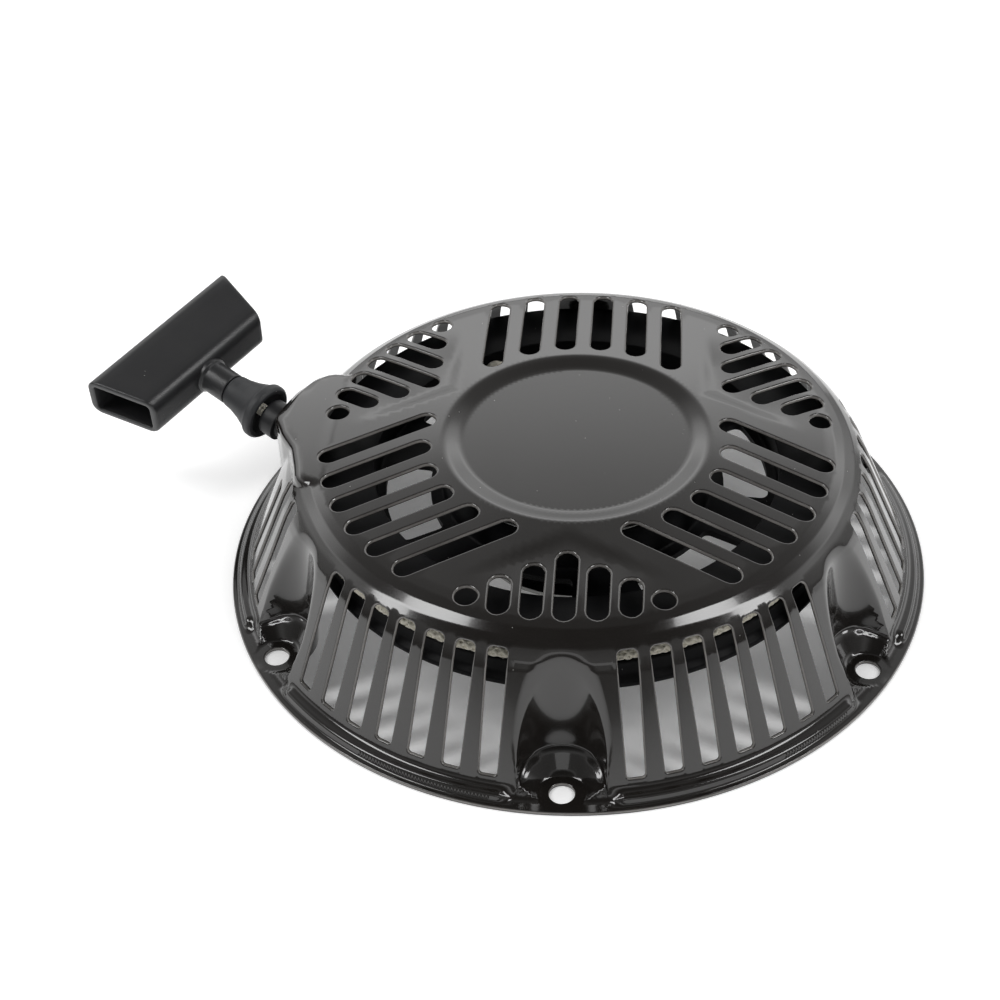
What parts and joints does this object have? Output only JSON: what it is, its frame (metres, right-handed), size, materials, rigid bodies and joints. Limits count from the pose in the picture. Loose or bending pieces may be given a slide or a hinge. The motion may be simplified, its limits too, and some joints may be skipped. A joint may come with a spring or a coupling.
{
  "type": "recoil starter",
  "caption": "Round slotted steel cover with bolt flange, holding a sprung rope reel with pawls, and a T-grip on a rope that pulls out of its side.",
  "frame": {"origin": "centre of the mounting flange, on its underside", "axes": "+Z through the cover away from the engine, on the reel's axis; the rope comes out on the -X side; a bolt lies on -Y"},
  "size_m": [0.3115, 0.256, 0.0665],
  "materials": {
    "black_paint": "gloss",
    "reel_plastic": "satin",
    "grip_plastic": "satin",
    "boot_rubber": "matt",
    "zinc_steel": "satin",
    "spring_steel": "satin",
    "bush_bronze": "satin",
    "rope_braid": "matt"
  },
  "bodies": {
    "housing": {"cover": "black_paint", "centre_post": "zinc_steel", "rope_guide": "zinc_steel", "retaining_ring": "spring_steel", "reel_bush": "bush_bronze", "friction_washer": "zinc_steel", "centre_screw": "zinc_steel", "friction_spring": "spring_steel"},
    "reel": {"reel": "reel_plastic", "reel_hub": "reel_plastic", "spring_keeper": "zinc_steel", "recoil_spring": "spring_steel", "rope_wound": "rope_braid", "reel_knot": "rope_braid", "spring_hook_pin": "zinc_steel", "pawl_pin_a": "zinc_steel", "pawl_pin_b": "zinc_steel", "pawl_spring_a": "spring_steel", "pawl_spring_b": "spring_steel"},
    "friction_plate": {"friction_plate": "zinc_steel"},
    "pawl_a": {"pawl_a": "spring_steel"},
    "pawl_b": {"pawl_b": "spring_steel"},
    "rope_end": {"rope_lead": "rope_braid", "grip_knot": "rope_braid", "grip_washer": "zinc_steel"},
    "grip": {"grip": "grip_plastic", "grip_boot": "boot_rubber"}
  },
  "joints": [
    {"name": "reel_spin", "type": "hinge", "parent": "housing", "child": "reel", "pos_m": [0, 0, 0], "axis": [0, 0, -1], "range_deg": [0, 720], "stiffness_Nm_per_rad": 0.02, "springref_deg": -343.77, "deforming": ["recoil_spring"]},
    {"name": "rope_pull", "type": "slide", "parent": "housing", "child": "rope_end", "axis": [-0.8171, 0.5429, 0.1942], "range_m": [0, 1.11], "deforming": ["rope_lead", "rope_wound"]},
    {"name": "friction_plate_turn", "type": "hinge", "parent": "reel", "child": "friction_plate", "pos_m": [0, 0, 0], "axis": [0, 0, 1], "range_deg": [0, 25], "stiffness_Nm_per_rad": 0.02, "deforming": ["pawl_spring_a", "pawl_spring_b"]},
    {"name": "pawl_a_swing", "type": "hinge", "parent": "reel", "child": "pawl_a", "pos_m": [0.03, 0, 0.0175], "axis": [0, 0, 1], "range_deg": [0, 30]},
    {"name": "pawl_b_swing", "type": "hinge", "parent": "reel", "child": "pawl_b", "pos_m": [-0.03, 0, 0.0175], "axis": [0, 0, 1], "range_deg": [0, 30]},
    {"name": "grip_twist", "type": "hinge", "parent": "rope_end", "child": "grip", "pos_m": [-0.1139, 0.0245, 0.042], "axis": [-0.8171, 0.5429, 0.1942], "range_deg": [-60, 60], "stiffness_Nm_per_rad": 0.01}
  ],
  "couplings": [
    {"joint": "rope_pull", "follows": "reel_spin", "m_per_rad": 0.088},
    {"joint": "pawl_a_swing", "follows": "friction_plate_turn", "ratio": 1.2},
    {"joint": "pawl_b_swing", "follows": "friction_plate_turn", "ratio": 1.2}
  ]
}
